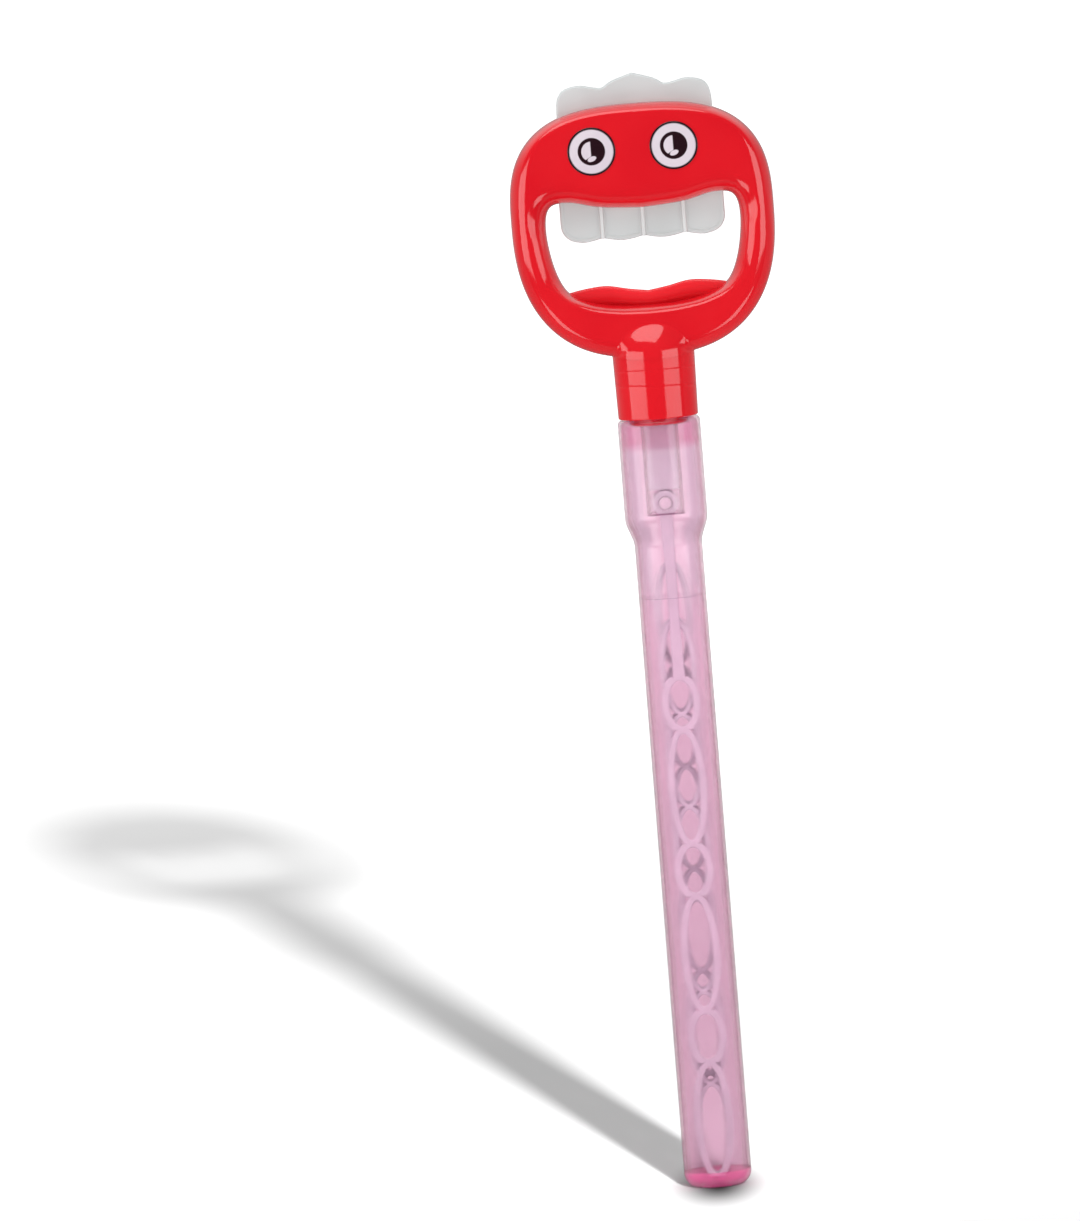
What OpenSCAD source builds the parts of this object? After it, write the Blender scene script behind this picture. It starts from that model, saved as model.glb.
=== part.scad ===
// Toy bubble wand, stood upright in its closed tube of bubble solution. Millimetres, +Z up along
// the tube, front of the handle towards -Y, origin at the middle of the tube's base. A two-part ring
// handle with a toothy face carries a screw cap, and from the cap hangs a clear stem with five
// strands of dipping rings, folded together inside the tube and fanned out when the wand is drawn.

/* [Tube] */
// Outside radius of the straight tube
tube_r = 11.6; // [10.8:0.1:13]
// Wall of the tube and its neck
tube_wall = 1; // [0.6:0.1:1.6]
// Thickness of the tube's base
base_t = 1.5; // [0.8:0.1:3]
// Rounding of the base's edge
base_round = 5; // [1:0.5:6]
// Length of the straight tube, from the base to the neck's cone
tube_h = 223.3; // [200:1:260]
// Outside radius of the wide neck
neck_r = 14.2; // [13.2:0.1:16]
// Height of the cone between the tube and the wide neck
cone_h = 6.9; // [3:0.1:12]
// Length of the wide neck
neck_h = 35.4; // [25:0.1:50]
// Radius of the mouth's bore
mouth_r = 10.5; // [10:0.1:11]
// Length of the threaded mouth above the wide neck
mouth_h = 13.4; // [9:0.1:18]
// How far a thread ridge stands out of the mouth
ridge_t = 0.6; // [0.3:0.1:0.8]
// Distance from one thread ridge to the next
ridge_pitch = 4; // [3:0.1:4.5]
// Number of thread ridges
ridges = 3; // [1:1:3]

/* [Solution] */
// Depth of bubble solution above the inside of the base
solution_h = 202.5; // [50:0.5:215]

/* [Cap] */
// How much wider the cap is at the top of its skirt
cap_flare = 0.4; // [0:0.1:1]
// Wall of the screw cap at its lower edge
cap_wall = 1.1; // [0.8:0.1:1.6]
// Height of the cap's skirt
cap_h = 21.8; // [20:0.1:30]
// Rounding radius of the cap's domed head
dome_round = 11.5; // [8:0.1:13]
// Gap between the wide neck and the cap's lower edge
cap_gap = 0.4; // [0.2:0.1:2]

/* [Seal and plug] */
// Thickness of the seal washer
seal_t = 1.5; // [0.8:0.1:2]
// Thickness of the plug's flange
flange_t = 1.8; // [1:0.1:3]
// Length of the plug below the seal
plug_h = 15.4; // [14:0.1:20]

/* [Stem] */
// Width and depth of the clear square sleeve
sleeve_w = 12.8; // [12.6:0.1:14]
// Wall of the sleeve
sleeve_wall = 1.1; // [0.7:0.1:1.2]
// Visible length of the sleeve below the plug
sleeve_h = 31.2; // [25:0.1:45]
// Height of the pivot pin above the sleeve's lower end
pin_rise = 4; // [3.4:0.1:6]
// Radius of the pivot pin
pin_r = 2.2; // [1.2:0.1:2.6]
// Height of the inner core above the strands' heads
core_h = 32; // [20:0.5:34]

/* [Strands] */
// Length of a strand from its pivot to its tip
strand_l = 233; // [200:0.5:233.5]
// Thickness of a strand
strand_t = 1.8; // [1:0.1:1.9]
// Radius of a strand's round head
head_r = 4.4; // [3.6:0.1:5]
// Width of a strand's bar below its head
bar_w = 4.4; // [2:0.1:4.6]
// Width of a strand's bar where it meets the first ring
bar_end_w = 3; // [1.6:0.1:4]
// Lengths of the bars above the first rings, from the left strand to the right one
bar_l = [21, 41, 60, 40, 21];
// Widths of the rings, from the left strand to the right one
ring_w = [11.7, 12.3, 13.5, 13, 13];
// Widths of the wire that the rings are made of, from the left strand to the right one
wire_w = [1.9, 1.9, 2.6, 2.1, 2.1];
// Number of rings on a strand
rings = 6; // [2:2:8]
// Gap between strands folded on each other
strand_gap = 0.2; // [0.1:0.05:0.25]

/* [Handle] */
// Overall width of the ring handle
handle_w = 90.2; // [80:0.2:110]
// Height of the handle's widest line above its lowest point
handle_drop = 49; // [44:0.2:60]
// Height of the handle's top above its widest line
handle_rise = 38.3; // [36:0.1:50]
// Overall depth of the ring handle
handle_d = 18; // [16:0.2:20]
// Wall of the two handle shells
shell_wall = 1.8; // [1.2:0.1:2]
// Width of the grip opening
grip_w = 66.6; // [56:0.2:68]
// Height of the grip opening, from its lowest point to the middle of its upper edge
grip_h = 33.2; // [28:0.1:34.6]
// Thickness of the bar below the grip opening
grip_bar = 18; // [16:0.1:19]
// How deep the handle sits over the top of the cap's skirt
handle_seat = 1; // [0.2:0.1:3]
// Radius of the posts that hold the two shells together
post_r = 2.8; // [2:0.1:3]
// Radius of the pegs on the front shell's posts
peg_r = 1.4; // [0.8:0.1:1.6]
// Length of the pegs
peg_h = 3; // [1:0.1:4]

/* [Face] */
// Thickness of the white plate with the crest and the teeth
plate_t = 3; // [2:0.1:3.6]
// Half the width of the crest
crest_hw = 26.7; // [20:0.1:30]
// Height of the crest's middle bump above the handle's top
crest_rise = 10.3; // [4:0.1:16]
// Width of one tooth
tooth_w = 14.1; // [8:0.1:14.4]
// Length of the middle teeth below the grip's upper edge
tooth_h = 9.4; // [4:0.1:14]
// Rounding of the tooth row's outer corners
tooth_round = 6; // [2:0.1:8]
// Width of the ribs between the teeth
rib_w = 1.2; // [0.6:0.1:2]
// How far the ribs stand out of the plate
rib_t = 0.7; // [0.3:0.1:1.5]
// Thickness of the red lip plate
lip_t = 2.4; // [1.6:0.1:3]
// Height of the lip's two bumps above the grip's lowest point
lip_h = 7.3; // [5:0.1:12]
// Radius of an eye
eye_r = 8.25; // [6:0.05:8.6]
// Thickness of an eye
eye_t = 0.4; // [0.2:0.1:1]
// Half the distance between the two eyes' middles
eye_x = 14.1; // [9:0.1:18]
// How far the pair of eyes sits off the middle of the face, towards -X
eye_shift = 1.7; // [0:0.1:3]
// Height of the eyes above the grip's upper edge
eye_z = 21; // [17:0.1:24]

/* [Hidden] */
$fn = 96;
// Overrun of every cut past the solid that it cuts
over = 1;
// Clearance of parts that sit in each other but don't run on each other
slack = 0.3;
// Clearance of glued parts and of the pin in the strands' heads
fit = 0.05;
// Gap between flat faces that turn or slide on each other
skim = 0.1;
// How far the solution stays away from the tube's wall and the folded strands
solution_gap = 0.2;
// Facets round a ring of a strand
ring_steps = 28;
// Stations along half of the handle, and steps across its section
half_steps = 30;
section_steps = 12;

// Heights of the tube's parts
neck_z = tube_h + cone_h;
mouth_z = neck_z + neck_h;
rim_z = mouth_z + mouth_h;
bore_r = tube_r - tube_wall;
neck_bore_r = neck_r - tube_wall;
mouth_wall = 1.2 * tube_wall;
// Heights of the seal, the flange and the plug
seal_z = rim_z + skim;
flange_z = seal_z + seal_t + skim;
plug_z = seal_z - plug_h;
plug_r = mouth_r - slack;
// The cap's skirt, bore and head
cap_z = mouth_z + cap_gap;
cap_bore_r = mouth_r + mouth_wall + ridge_t + slack;
cap_r = cap_bore_r + cap_wall;
skirt_z = cap_z + cap_h;
skirt_r = cap_r + cap_flare;
flat_r = skirt_r - dome_round;
// The stem hangs from the plug
sleeve_z = plug_z - sleeve_h;
pin_z = sleeve_z + pin_rise;
sleeve_bore = sleeve_w - 2 * sleeve_wall;
core_z = pin_z + head_r + slack;
core_w = sleeve_bore - 2 * fit;
socket_z = core_z + core_h;
layer = strand_t + strand_gap;
// Places in the folded pack, front to back, of the strands from left to right
layers = [1, -1, -2, 0, 2];
bundle_w = max(ring_w) + 2 * solution_gap;
bundle_d = 5 * strand_t + 4 * strand_gap + 2 * solution_gap;
// The handle's widest line and the grip's lowest point
handle_z = skirt_z - handle_seat;
mid_z = handle_z + handle_drop;
top_z = mid_z + handle_rise;
grip_z = handle_z + grip_bar;
grip_top = grip_z + grip_h;
half_w = handle_w / 2;
half_d = handle_d / 2;
// Bends of the handle's outline above and below its widest line, and of its thin and broad sections
upper_bend = 2.8;
lower_bend = 2.5;
thin_bend = 2.2;
broad_bend = 5.2;
// Half of the grip opening from top to bottom: shares of half its width and of its height, then the
// share of a half turn at which the handle's outer edge lies over the point
grip_shares = [
    [0, 1, 0], [0.42, 1.032, 0.07], [0.75, 1.105, 0.165], [0.95, 1.064, 0.36], [1, 0.828, 0.5],
    [0.945, 0.455, 0.59], [0.82, 0.187, 0.69], [0.6, 0.072, 0.79], [0.3, 0.015, 0.91], [0, 0, 1]
];
// Half of the crest from its side to its middle: shares of its half width and of its rise
crest_shares = [
    [1, -0.6], [0.995, 0.1], [0.95, 0.45], [0.86, 0.63], [0.68, 0.7], [0.53, 0.62], [0.4, 0.58],
    [0.27, 0.78], [0, 1]
];
// Half of the lip's upper edge from its end to its middle: shares of half the grip and of the rise
lip_shares = [[0.9, 0.6], [0.825, 0.78], [0.63, 0.945], [0.42, 1], [0.2, 0.8], [0, 0.66]];
// Posts of the shells: shares of half the width, and of the height from the ring's lowest point
post_shares = [[0, 0.79], [-0.815, 0.74], [0.815, 0.74], [-0.575, 0.135], [0.575, 0.135]];

// A point of a smooth curve through the points p, at place u counted in points
function spot(p, i) = p[min(max(i, 0), len(p) - 1)];
function curve(p, u) =
    let (i = min(floor(u), len(p) - 2), t = u - i)
    let (a = spot(p, i - 1), b = spot(p, i), c = spot(p, i + 1), d = spot(p, i + 2))
    b + (c - a) * t / 2 + (a - b * 5 / 2 + c * 2 - d / 2) * t * t + ((b - c) * 3 + d - a) / 2 * t * t * t;

// A smooth outline through half of a figure and its mirror image, from the +X end to the -X end
function smooth(p, n) = [for (k = [0 : n]) curve(p, k * (len(p) - 1) / n)];
function mirrored(p) = concat(p, [for (k = [len(p) - 2 : -1 : 0]) [-p[k].x, p[k].y]]);

// The power of a sine or cosine that bends a circle towards a rounded square
function bent(c, bend) = sign(c) * pow(abs(c), 2 / bend);
function outer_edge(turn) =
    let (bend = cos(turn) > 0 ? upper_bend : lower_bend, h = cos(turn) > 0 ? handle_rise : handle_drop)
    [half_w * bent(sin(turn), bend), mid_z + h * bent(cos(turn), bend)];

// Station k of the handle: the grip's edge and the outer edge, going round from the top by +X
function grip_spot(u) = curve(grip_shares, u * (len(grip_shares) - 1));
function station(k) =
    let (side = k <= half_steps ? 1 : -1, g = grip_spot((k <= half_steps ? k : 2 * half_steps - k) / half_steps))
    let (o = outer_edge(180 * g.z))
    [[side * grip_w / 2 * g.x, grip_z + grip_h * g.y], [side * o.x, o.y]];

// One section of a shell, from the grip's edge over the front to the outer edge, then back inside
function arch(s, inset, n) =
    let (a = s[0], b = s[1], reach = norm(b - a), e = (b - a) / reach, m = (a + b) / 2)
    let (bend = thin_bend + (broad_bend - thin_bend) * min(1, max(0, reach / half_d - 1) / 3))
    [for (k = [0 : n])
        let (v = m - e * (reach / 2 - inset) * bent(cos(180 * k / n), bend))
        [v.x, k == 0 || k == n ? 0 : -(half_d - inset) * bent(sin(180 * k / n), bend), v.y]];
function reversed(p) = [for (k = [len(p) - 1 : -1 : 0]) p[k]];
function section(k) =
    concat(arch(station(k), 0, section_steps), reversed(arch(station(k), shell_wall, section_steps)));

// A closed ring swept through the sections of one shell
module swept_shell() {
    n = 2 * half_steps;
    m = 2 * (section_steps + 1);
    points = [for (k = [0 : n - 1]) each section(k)];
    function at(k, j) = (k % n) * m + j % m;
    faces = [for (k = [0 : n - 1]) for (j = [0 : m - 1])
        each [[at(k, j), at(k + 1, j + 1), at(k + 1, j)], [at(k, j), at(k, j + 1), at(k + 1, j + 1)]]];
    polyhedron(points, faces, convexity = 8);
}

// Half of the outline of a body of revolution about Z
module turned() {
    rotate_extrude()
        children();
}

// A flat outline drawn in X and Z, thickened about y = 0
module plate(t) {
    translate([0, t / 2, 0])
        rotate([90, 0, 0])
            linear_extrude(t)
                children();
}

// A rod along Y from y0 to y1
module rod(r, y0, y1) {
    translate([0, y1, 0])
        rotate([90, 0, 0])
            cylinder(r = r, h = y1 - y0);
}

// The cap's outside in half section, grown by a gap where the handle sits round it
module cap_outline(gap) {
    polygon([
        [0, cap_z], [cap_r + gap, cap_z], [skirt_r + gap, skirt_z],
        [flat_r, skirt_z], [flat_r, skirt_z + dome_round + gap], [0, skirt_z + dome_round + gap]
    ]);
    intersection() {
        translate([flat_r, skirt_z])
            circle(r = dome_round + gap);
        translate([0, skirt_z])
            square(skirt_r + dome_round);
    }
}

// The room inside the tube in half section, less a gap along its wall and base
module bore_outline(gap) {
    polygon([
        [0, base_t + gap], [bore_r - base_round, base_t + gap], [bore_r - gap, base_t + base_round],
        [bore_r - gap, tube_h], [neck_bore_r - gap, neck_z], [neck_bore_r - gap, mouth_z - tube_wall],
        [mouth_r - gap, mouth_z], [mouth_r - gap, rim_z + over], [0, rim_z + over]
    ]);
}

module tube() {
    color([0.93, 0.6, 0.8, 0.6])
        turned()
            difference() {
                union() {
                    polygon([
                        [0, 0], [tube_r - base_round, 0], [tube_r - base_round, base_round],
                        [tube_r, base_round], [tube_r, tube_h], [neck_r, neck_z], [neck_r, mouth_z],
                        [mouth_r + mouth_wall, mouth_z], [mouth_r + mouth_wall, rim_z], [0, rim_z]
                    ]);
                    intersection() {
                        translate([tube_r - base_round, base_round])
                            circle(r = base_round);
                        square([tube_r, base_round]);
                    }
                    for (k = [1 : ridges])
                        translate([mouth_r + mouth_wall, rim_z - k * ridge_pitch + ridge_pitch / 3])
                            polygon([
                                [-ridge_t, -ridge_t], [0, -ridge_t], [ridge_t, -ridge_t / 3],
                                [ridge_t, ridge_t / 3], [0, ridge_t], [-ridge_t, ridge_t]
                            ]);
                }
                bore_outline(0);
            }
}

module bubble_solution() {
    stem_w = sleeve_w + 2 * solution_gap;
    color([0.96, 0.8, 0.9, 0.4])
        difference() {
            turned()
                intersection() {
                    bore_outline(solution_gap);
                    square([neck_r, base_t + solution_h]);
                }
            translate([-bundle_w / 2, -bundle_d / 2, 0])
                cube([bundle_w, bundle_d, base_t + solution_h + over]);
            translate([-stem_w / 2, -stem_w / 2, sleeve_z - solution_gap])
                cube([stem_w, stem_w, sleeve_h]);
        }
}

module seal_washer() {
    color("white")
        translate([0, 0, seal_z])
            difference() {
                cylinder(r = cap_bore_r - slack / 2, h = seal_t);
                translate([0, 0, -over])
                    cylinder(r = plug_r + skim, h = seal_t + 2 * over);
            }
}

module screw_cap() {
    color([0.88, 0.1, 0.13])
        difference() {
            turned()
                cap_outline(0);
            translate([0, 0, cap_z - over])
                cylinder(r = cap_bore_r, h = cap_h + over);
            turned()
                intersection() {
                    translate([flat_r, skirt_z])
                        circle(r = cap_bore_r - flat_r);
                    translate([0, skirt_z - fit])
                        square(cap_bore_r);
                }
            translate([0, 0, skirt_z - fit])
                cylinder(r = flat_r, h = cap_bore_r - flat_r + fit);
        }
}

module stem_plug() {
    color([0.75, 0.08, 0.12])
        difference() {
            union() {
                translate([0, 0, plug_z])
                    cylinder(r = plug_r, h = flange_z - plug_z + flange_t / 2);
                translate([0, 0, flange_z])
                    cylinder(r = cap_bore_r - fit, h = flange_t);
            }
            translate([-core_w / 2 - fit, -core_w / 2 - fit, plug_z - over])
                cube([core_w + 2 * fit, core_w + 2 * fit, socket_z + fit - plug_z + over]);
        }
}

module stem_core() {
    color([0.93, 0.93, 0.95])
        translate([-core_w / 2, -core_w / 2, core_z])
            cube([core_w, core_w, core_h]);
}

module stem_sleeve() {
    color([0.9, 0.92, 0.9, 0.5])
        translate([0, 0, sleeve_z])
            difference() {
                translate([-sleeve_w / 2, -sleeve_w / 2, 0])
                    cube([sleeve_w, sleeve_w, sleeve_h]);
                translate([-sleeve_bore / 2, -sleeve_bore / 2, -over])
                    cube([sleeve_bore, sleeve_bore, sleeve_h + 2 * over]);
                translate([0, 0, pin_rise])
                    rod(pin_r + fit, -sleeve_w, sleeve_w);
            }
}

module pivot_pin() {
    color([0.85, 0.86, 0.88])
        translate([0, 0, pin_z])
            rod(pin_r, -sleeve_w / 2, sleeve_w / 2);
}

// One oval of a strand, with its upper end at z = 0
module oval(w, l) {
    polygon([for (k = [0 : ring_steps - 1])
        [w / 2 * cos(360 * k / ring_steps), l / 2 * (sin(360 * k / ring_steps) - 1)]]);
}

// Lengths of a strand's rings: all alike, or short and long ones in turn on the middle strand
short_share = 0.316;
function ring_l(s, k) =
    let (pair = (strand_l - bar_l[s]) / rings * 2)
    s == 2 ? pair * (k % 2 == 0 ? short_share : 1 - short_share) : pair / 2;
function ring_top(s, k) = k == 0 ? bar_l[s] : ring_top(s, k - 1) + ring_l(s, k - 1);

// A folded strand hanging from its pivot: a round head on the pin, a bar and a row of rings
module strand(s) {
    w = wire_w[s];
    color([0.93, 0.93, 0.94])
        translate([0, layers[s] * layer, pin_z])
            difference() {
                union() {
                    rod(head_r, -strand_t / 2, strand_t / 2);
                    plate(strand_t)
                        polygon([
                            [-bar_w / 2, 0], [bar_w / 2, 0], [bar_end_w / 2, -bar_l[s] - w / 2],
                            [-bar_end_w / 2, -bar_l[s] - w / 2]
                        ]);
                    plate(strand_t)
                        for (k = [0 : rings - 1])
                            translate([0, w / 2 - ring_top(s, k)])
                                oval(ring_w[s], ring_l(s, k) + (k < rings - 1 ? w : w / 2));
                }
                rod(pin_r + fit, -strand_t, strand_t);
                plate(2 * strand_t)
                    for (k = [0 : rings - 1])
                        translate([0, -w / 2 - ring_top(s, k)])
                            oval(ring_w[s] - 2 * w, ring_l(s, k) - w - (k < rings - 1 ? 0 : w / 2));
            }
}

module strand_1() {
    strand(0);
}

module strand_2() {
    strand(1);
}

module strand_3() {
    strand(2);
}

module strand_4() {
    strand(3);
}

module strand_5() {
    strand(4);
}

// What both shells leave free: the cap's head and the two plates between the shells
module handle_cuts() {
    turned()
        cap_outline(fit);
    translate([-crest_hw - fit, -plate_t / 2 - fit, mid_z])
        cube([2 * (crest_hw + fit), plate_t + 2 * fit, handle_rise + over]);
    translate([-2 * tooth_w - fit, -plate_t / 2 - fit, grip_z + grip_h / 2])
        cube([4 * tooth_w + 2 * fit, plate_t + 2 * fit, grip_h]);
    translate([-grip_w / 2, -lip_t / 2 - fit, grip_z - 2 * shell_wall])
        cube([grip_w, lip_t + 2 * fit, grip_h / 2]);
}

// The places of the posts that hold the shells together
module at_posts() {
    for (p = post_shares)
        translate([p.x * half_w, 0, handle_z + p.y * (top_z - handle_z)])
            children();
}

module handle_front() {
    color([0.9, 0.1, 0.14]) {
        difference() {
            swept_shell();
            handle_cuts();
        }
        at_posts() {
            rod(post_r, -half_d + shell_wall / 2, -fit);
            rod(peg_r, -over, peg_h);
        }
    }
}

module handle_back() {
    color([0.9, 0.1, 0.14]) {
        difference() {
            mirror([0, 1, 0])
                swept_shell();
            handle_cuts();
        }
        at_posts()
            difference() {
                rod(post_r, fit, half_d - shell_wall / 2);
                rod(peg_r + fit, -over, peg_h + slack);
            }
    }
}

// The white plate: its crest stands on the handle and its teeth hang into the grip opening
module teeth_plate() {
    crest = mirrored(smooth(crest_shares, 24));
    color([0.86, 0.87, 0.88])
        difference() {
            union() {
                plate(plate_t) {
                    polygon([for (p = crest) [p.x * crest_hw, top_z + p.y * crest_rise]]);
                    translate([-crest_hw, grip_top])
                        square([2 * crest_hw, top_z - grip_top - crest_rise / 2]);
                    tooth_row();
                }
                for (k = [-1 : 1])
                    translate([k * tooth_w - rib_w / 2, -plate_t / 2 - rib_t, grip_top - tooth_h])
                        cube([rib_w, plate_t + 2 * rib_t, tooth_h - shell_wall]);
            }
            at_posts()
                rod(post_r + slack, -half_d, half_d);
        }
}

// Four teeth side by side, each with a bowed lower edge and the outer ones rounded at the side
module tooth_row() {
    bow = tooth_h / 8;
    side = 2 * tooth_w;
    intersection() {
        for (k = [-2 : 1])
            translate([(k + 0.5) * tooth_w, 0])
                polygon(concat(
                    [for (j = [0 : 8]) [(j / 8 - 0.5) * tooth_w, grip_top - tooth_h - bow * sin(22.5 * j)]],
                    [[tooth_w / 2, grip_top + grip_h / 6], [-tooth_w / 2, grip_top + grip_h / 6]]
                ));
        union() {
            translate([-side, grip_top - tooth_h - bow + tooth_round])
                square([2 * side, grip_h]);
            translate([-side + tooth_round, grip_top - tooth_h - bow])
                square([2 * (side - tooth_round), grip_h]);
            for (k = [-1, 1])
                translate([k * (side - tooth_round), grip_top - tooth_h - bow + tooth_round])
                    circle(r = tooth_round);
        }
    }
}

// The lip's lower edge runs inside the bar, just below the grip's edge
module lip_plate() {
    upper = mirrored(smooth(lip_shares, 20));
    low = [for (k = [half_steps : -1 : ceil(half_steps / 2)])
        let (g = grip_spot(k / half_steps)) if (g.x < lip_shares[1].x) g];
    lower = mirrored(reversed([for (g = low) [g.x * grip_w / 2, grip_z + grip_h * g.y - 1.25 * shell_wall]]));
    color([0.86, 0.08, 0.12])
        plate(lip_t)
            polygon(concat([for (p = upper) [p.x * grip_w / 2, grip_z + p.y * lip_h]], reversed(lower)));
}

module eye(side) {
    color("white")
        translate([side * eye_x - eye_shift, 0, grip_top + eye_z])
            rod(eye_r, -half_d - eye_t - fit, -half_d - fit);
}

module eye_left() {
    eye(-1);
}

module eye_right() {
    eye(1);
}

tube();
bubble_solution();
seal_washer();
screw_cap();
stem_plug();
stem_core();
stem_sleeve();
pivot_pin();
strand_1();
strand_2();
strand_3();
strand_4();
strand_5();
handle_front();
handle_back();
teeth_plate();
lip_plate();
eye_left();
eye_right();
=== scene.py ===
import math

import bmesh
import bpy
from mathutils import Matrix, Vector, kdtree


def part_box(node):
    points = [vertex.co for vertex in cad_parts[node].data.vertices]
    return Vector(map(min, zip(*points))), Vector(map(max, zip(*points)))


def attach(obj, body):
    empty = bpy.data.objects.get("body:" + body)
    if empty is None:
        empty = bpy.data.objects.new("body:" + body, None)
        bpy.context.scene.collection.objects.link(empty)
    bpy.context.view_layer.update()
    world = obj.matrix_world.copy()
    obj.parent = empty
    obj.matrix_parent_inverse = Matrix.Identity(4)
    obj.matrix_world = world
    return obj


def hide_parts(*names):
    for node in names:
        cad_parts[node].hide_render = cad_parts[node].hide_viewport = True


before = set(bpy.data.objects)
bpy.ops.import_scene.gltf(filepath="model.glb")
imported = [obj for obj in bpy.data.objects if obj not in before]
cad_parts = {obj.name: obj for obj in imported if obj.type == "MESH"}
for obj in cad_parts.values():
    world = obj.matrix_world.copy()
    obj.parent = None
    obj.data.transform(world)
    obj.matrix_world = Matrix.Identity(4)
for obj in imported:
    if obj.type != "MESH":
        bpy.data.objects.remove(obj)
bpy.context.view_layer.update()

# Tube: a blown bottle of tinted, slightly cloudy plastic, with a wide neck and a moulded thread
# round its mouth. Its thick foot takes the tint more strongly, so it has a mesh of its own.
mm = 0.001


def profile(points, closed=False):
    """A bmesh with one chain of edges through points of (radius, height) in millimetres."""
    mesh = bmesh.new()
    chain = [mesh.verts.new((x * mm, 0, z * mm)) for x, z in points]
    ends = chain[1:] + chain[:1] if closed else chain[1:]
    for a, b in zip(chain, ends):
        mesh.edges.new((a, b))
    return mesh, chain


def round_corners(mesh, corners, radius, segments=4):
    """Rounds corners of a profile."""
    bmesh.ops.bevel(
        mesh, geom=corners, affect="VERTICES", offset=radius * mm, segments=segments, profile=0.5,
        material=-1
    )


def turn(mesh, steps=96):
    """Turns a profile into a body of revolution about the tube's axis, with closed poles."""
    bmesh.ops.spin(
        mesh, geom=mesh.verts[:] + mesh.edges[:], cent=(0, 0, 0), axis=(0, 0, 1), angle=2 * math.pi,
        steps=steps, use_merge=True, use_duplicate=False
    )
    bmesh.ops.remove_doubles(mesh, verts=mesh.verts, dist=0.01 * mm)
    bmesh.ops.recalc_face_normals(mesh, faces=mesh.faces)


def absorb(mesh, part):
    """Adds a finished part to a mesh."""
    data = bpy.data.meshes.new("part")
    part.to_mesh(data)
    part.free()
    mesh.from_mesh(data)
    bpy.data.meshes.remove(data)


def piece(name, mesh, material, body, nodes, even=True):
    """Makes the object of a finished mesh, rides it on its body, and hides the nodes it stands for."""
    data = bpy.data.meshes.new(name)
    mesh.to_mesh(data)
    mesh.free()
    data.shade_smooth()
    data.materials.append(material)
    made = bpy.data.objects.new(name, data)
    bpy.context.scene.collection.objects.link(made)
    if even:
        made.modifiers.new("even_normals", "WEIGHTED_NORMAL").keep_sharp = True
    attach(made, body)
    if nodes:
        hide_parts(*nodes)
    return made


def linear(red, green, blue):
    """A colour given in display values from 0 to 255, as the shaders take it."""
    values = [c / 255 for c in (red, green, blue)]
    return [c / 12.92 if c <= 0.04045 else ((c + 0.055) / 1.055) ** 2.4 for c in values] + [1]


def add_node(tree, kind, takes=(), **settings):
    """A shader node with its settings. Each input takes a value or another node's output."""
    made = tree.nodes.new("ShaderNode" + kind)
    for key, value in settings.items():
        setattr(made, key, value)
    for key, value in dict(takes).items():
        if isinstance(value, bpy.types.NodeSocket):
            tree.links.new(value, made.inputs[key])
        else:
            made.inputs[key].default_value = value
    return made


def maths(tree, operation, *values):
    """The result of a Math node. Its values are numbers or other nodes' outputs."""
    return add_node(tree, "Math", enumerate(values), operation=operation).outputs["Value"]


def ramp(tree, value, low, high, least=0, most=1, smooth=True):
    """A number that runs from least, where the value is low, to most, where it is high."""
    takes = {"Value": value, "From Min": low, "From Max": high, "To Min": least, "To Max": most}
    run = "SMOOTHSTEP" if smooth else "LINEAR"
    return add_node(tree, "MapRange", takes, interpolation_type=run).outputs["Result"]


def blended(tree, share, first, second):
    """The colour that lies by a share from the first colour to the second."""
    factor, a, b, result = 0, 6, 7, 2  # the colour sockets of a Mix node
    return add_node(tree, "Mix", {factor: share, a: first, b: second}, data_type="RGBA").outputs[result]


def place_on(tree):
    """A point's place in the object's own frame."""
    return add_node(tree, "TexCoord").outputs["Object"]


def parts_of(tree, vector):
    """A vector's outputs X, Y and Z."""
    return add_node(tree, "SeparateXYZ", {"Vector": vector}).outputs


def feed(tree, key, value):
    """Links a value into the material's shader."""
    tree.links.new(value, tree.nodes["Principled BSDF"].inputs[key])


def make_moulded_skin():
    """The skin of moulded plastic: slow waves of shrinkage, fine grain, and a rub mask for gloss."""
    group = bpy.data.node_groups.new("moulded_skin", "ShaderNodeTree")
    for name, kind, start in [
        ("Colour", "Color", (1, 1, 1, 1)), ("Shade", "Color", (0.8, 0.8, 0.8, 1)),
        ("Gloss", "Float", 0.1), ("Rub", "Float", 0.06), ("Grain", "Float", 900.0), ("Waves", "Float", 45.0)
    ]:
        socket = group.interface.new_socket(name, in_out="INPUT", socket_type="NodeSocket" + kind)
        socket.default_value = start
    for name, kind in [("Colour", "Color"), ("Roughness", "Float"), ("Height", "Float")]:
        group.interface.new_socket(name, in_out="OUTPUT", socket_type="NodeSocket" + kind)
    given = group.nodes.new("NodeGroupInput").outputs
    rub_scale, grain_share = 160, 0.04
    place = place_on(group)
    waves, grain, rub = (
        add_node(group, "TexNoise", {"Vector": place, "Scale": scale, "Detail": detail}).outputs["Fac"]
        for scale, detail in [(given["Waves"], 1.0), (given["Grain"], 3.0), (rub_scale, 5.0)]
    )
    shaded = ramp(group, waves, 0.35, 0.7, smooth=False)
    worn = ramp(group, rub, 0.45, 0.75, smooth=False)
    results = group.nodes.new("NodeGroupOutput").inputs
    for name, value in [
        ("Colour", blended(group, shaded, given["Colour"], given["Shade"])),
        ("Roughness", maths(group, "MULTIPLY_ADD", worn, given["Rub"], given["Gloss"])),
        ("Height", maths(group, "MULTIPLY_ADD", grain, grain_share, waves))
    ]:
        group.links.new(value, results[name])
    return group


moulded_skin = make_moulded_skin()


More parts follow.
